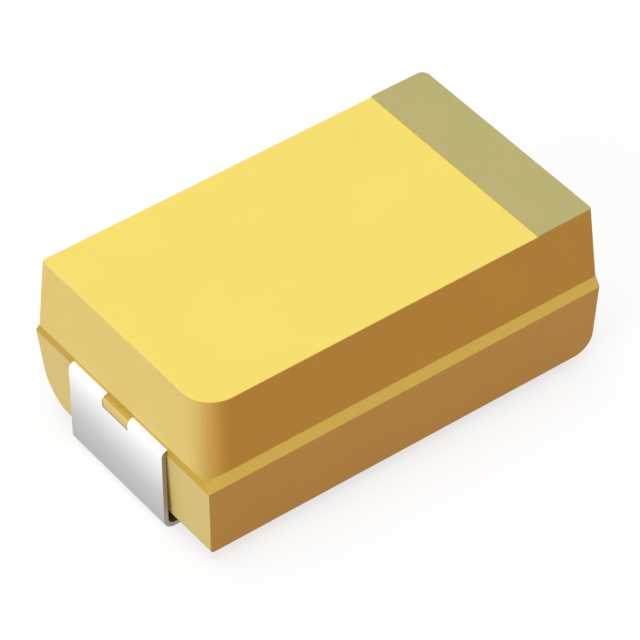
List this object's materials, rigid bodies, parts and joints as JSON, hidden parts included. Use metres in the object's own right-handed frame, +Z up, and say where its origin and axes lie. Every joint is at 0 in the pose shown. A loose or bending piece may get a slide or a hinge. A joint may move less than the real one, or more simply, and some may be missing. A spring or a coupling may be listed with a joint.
{
  "type": "tantalum capacitor",
  "caption": "Moulded tantalum chip capacitor: yellow epoxy case with a parting band, an olive polarity band at the anode end and folded tinned terminals with solder feet.",
  "frame": {"origin": "middle of the underside on the board: Z = 0 is the plane of the two solder feet, under the middle of the case", "axes": "+X along the case towards the anode end, which has the polarity band; +Y across the case; +Z up from the board"},
  "size_m": [0.0074, 0.0044, 0.0029],
  "materials": {
    "epoxy_yellow": "moulded epoxy, fine matte mould grain",
    "band_ink": "printed ink, matt olive",
    "tinned_strip": "matte tin plating on a nickel iron strip",
    "tantalum_wire": "drawn tantalum",
    "washer_white": "skived white fluoropolymer",
    "tantalum_pellet": "pressed and sintered tantalum powder",
    "dioxide_black": "dull black oxide",
    "graphite_grey": "dried graphite paint",
    "silver_paint": "dried silver paint, satin",
    "silver_glue": "silver filled adhesive, dull"
  },
  "bodies": {
    "root": {"case": "epoxy_yellow", "polarity_band": "band_ink", "cathode_terminal": "tinned_strip", "anode_terminal": "tinned_strip", "riser_wire": "tantalum_wire", "insulating_washer": "washer_white", "anode_pellet": "tantalum_pellet", "manganese_dioxide_coat": "dioxide_black", "graphite_coat": "graphite_grey", "silver_coat": "silver_paint", "silver_adhesive": "silver_glue"}
  },
  "joints": []
}
